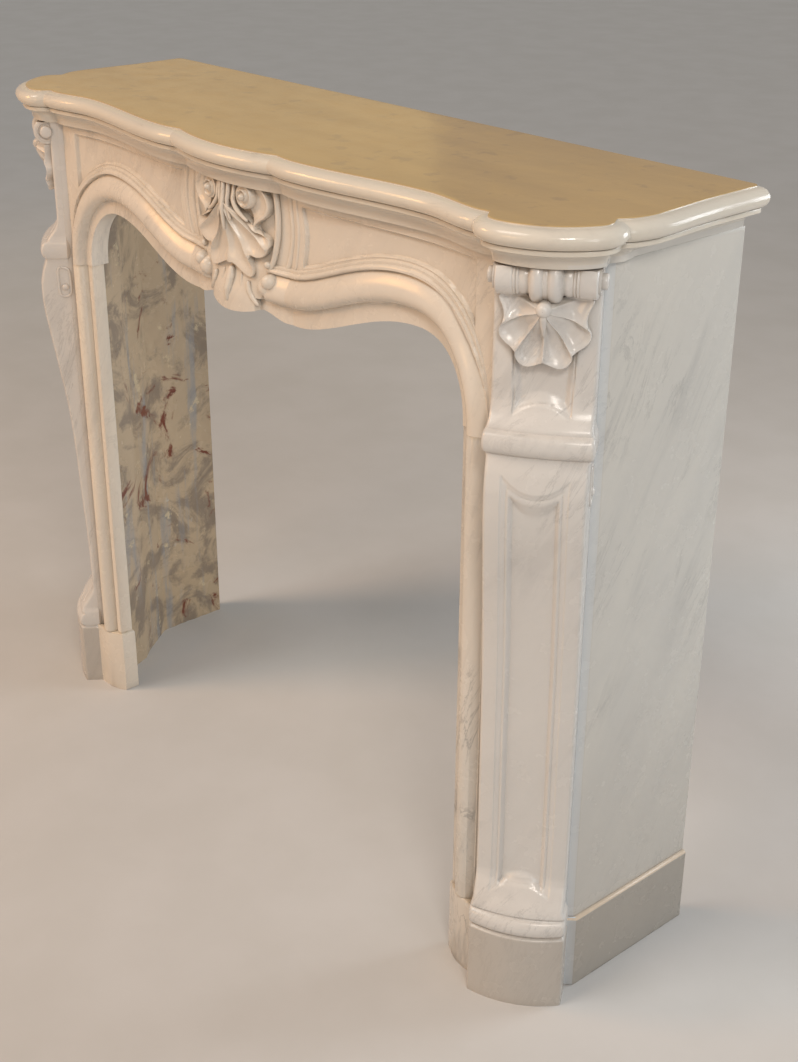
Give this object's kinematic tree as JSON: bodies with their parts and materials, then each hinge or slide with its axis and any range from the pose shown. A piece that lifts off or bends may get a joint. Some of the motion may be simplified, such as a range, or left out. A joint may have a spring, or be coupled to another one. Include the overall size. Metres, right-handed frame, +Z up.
{
  "type": "fireplace mantel",
  "caption": "Carved white marble fireplace mantel with a serpentine shelf, an arched frieze with a shell cartouche, canted console jambs and side returns",
  "frame": {"origin": "on the floor, under the middle of the overall box", "axes": "+Z up, the front faces -Y, +X to the right of someone who faces the front"},
  "size_m": [1.2742, 0.365, 1.08],
  "materials": {
    "shelf_marble": "polished",
    "lintel_marble": "polished",
    "jamb_marble": "polished",
    "slip_marble": "polished",
    "return_marble": "polished"
  },
  "bodies": {
    "root": {"mantel_shelf": "shelf_marble", "carved_lintel": "lintel_marble", "right_console_jamb": "jamb_marble", "right_slip": "slip_marble", "right_slip_block": "slip_marble", "right_return": "return_marble", "right_return_base": "return_marble", "left_console_jamb": "jamb_marble", "left_slip": "slip_marble", "left_slip_block": "slip_marble", "left_return": "return_marble", "left_return_base": "return_marble"}
  },
  "joints": []
}
